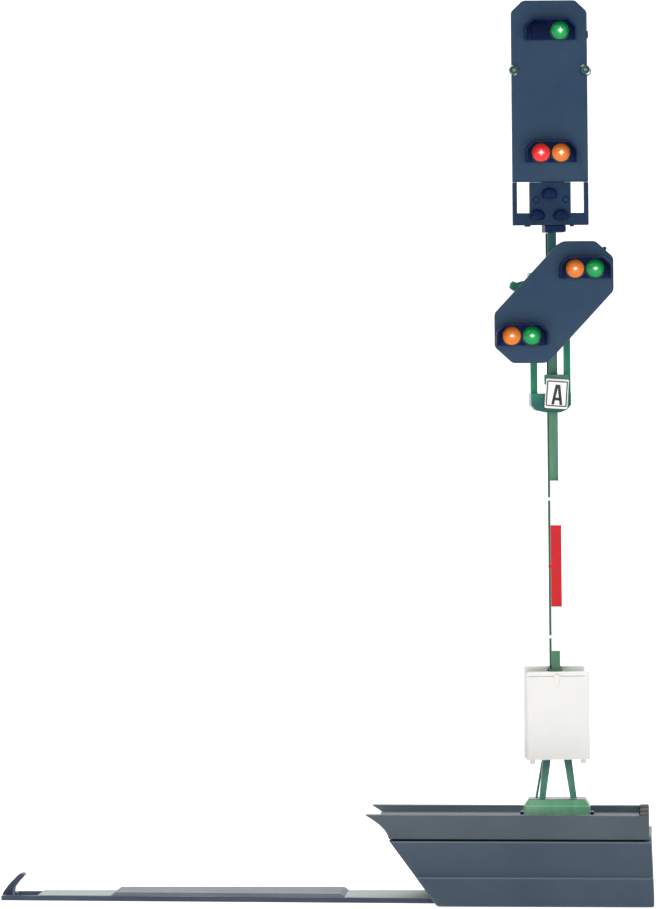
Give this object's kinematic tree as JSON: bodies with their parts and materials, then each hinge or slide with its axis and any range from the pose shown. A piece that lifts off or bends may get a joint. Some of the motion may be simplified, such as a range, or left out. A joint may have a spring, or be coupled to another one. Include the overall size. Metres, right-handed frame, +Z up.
{
  "type": "model signal mast",
  "caption": "Model railway colour-light signal: mast with main and distant heads, plugged into a low sloped base with a flat tongue and spring catch that reach under the track bed.",
  "frame": {"origin": "on the base's underside, below the middle of the mast's foot plate", "axes": "+Z up along the mast, -Y the way the lamps face, +X away from the track"},
  "size_m": [0.0641, 0.0206, 0.0882],
  "materials": {
    "base_plastic": "moulded, fine satin",
    "shield_black": "moulded, satin",
    "hood_black": "moulded, smooth",
    "mast_green": "thin satin lacquer",
    "bracket_green": "thin satin lacquer",
    "box_white": "moulded, satin",
    "sign_white": "moulded, printed",
    "comb_grey": "moulded",
    "strip_metal": "tinned",
    "strip_cover": "moulded",
    "steel": "bright",
    "board_green": "solder resist",
    "chip_black": "moulded",
    "led_white": "clear epoxy",
    "lens_green": "clear, tinted",
    "lens_orange": "clear, tinted",
    "lens_red": "clear, tinted"
  },
  "bodies": {
    "base": {"base_housing": "base_plastic", "circuit_board": "board_green", "decoder_chip": "chip_black", "rectifier": "chip_black", "socket_strip": "chip_black", "cover_screw_front": "steel", "cover_screw_back": "steel"},
    "cover": {"base_cover": "base_plastic", "cable_comb": "comb_grey", "end_tab": "steel"},
    "mast": {"box_front_shell": "box_white", "box_rear_shell": "box_white", "bracket_arm": "bracket_green", "distant_board": "board_green", "distant_bracket": "bracket_green", "distant_hood_lower": "hood_black", "distant_hood_upper": "hood_black", "distant_housing": "shield_black", "distant_lens_lower_green": "lens_green", "distant_lens_lower_orange": "lens_orange", "distant_lens_upper_green": "lens_green", "distant_lens_upper_orange": "lens_orange", "distant_shield": "shield_black", "dummy_lamp_left": "hood_black", "dummy_lamp_right": "hood_black", "dummy_lamp_top": "hood_black", "eyelet": "steel", "foot_plate": "mast_green", "lamp_panel": "shield_black", "main_board": "board_green", "main_hood_lower": "hood_black", "main_hood_upper": "hood_black", "main_housing": "shield_black", "main_led_green": "led_white", "main_led_orange": "led_white", "main_led_red": "led_white", "main_lens_green": "lens_green", "main_lens_orange": "lens_orange", "main_lens_red": "lens_red", "main_shield": "shield_black", "mast_collar": "mast_green", "mast_head": "shield_black", "mast_legs": "mast_green", "mast_profile": "mast_green", "mast_sign": "sign_white", "mast_wires": "chip_black", "plug_board": "board_green", "plug_body": "chip_black", "side_pin_left": "bracket_green", "side_pin_right": "bracket_green", "sign_bracket": "mast_green", "sign_plate": "sign_white"},
    "tongue": {"tongue_plate": "base_plastic", "tongue_strip": "strip_metal", "strip_cover": "strip_cover"},
    "hook": {"track_hook": "base_plastic"}
  },
  "joints": [
    {"name": "cover_lift", "type": "slide", "parent": "base", "child": "cover", "axis": [0, 0, 1], "range_m": [0, 0.012]},
    {"name": "mast_unplug", "type": "slide", "parent": "cover", "child": "mast", "axis": [0, 0, 1], "range_m": [0, 0.006]},
    {"name": "tongue_slide", "type": "slide", "parent": "base", "child": "tongue", "axis": [-1, 0, 0], "range_m": [0, 0.008]},
    {"name": "hook_flex", "type": "hinge", "parent": "tongue", "child": "hook", "pos_m": [-0.05395, 0, 0.0003], "axis": [0, -1, 0], "range_deg": [0, 10], "stiffness_Nm_per_rad": 0.005}
  ]
}
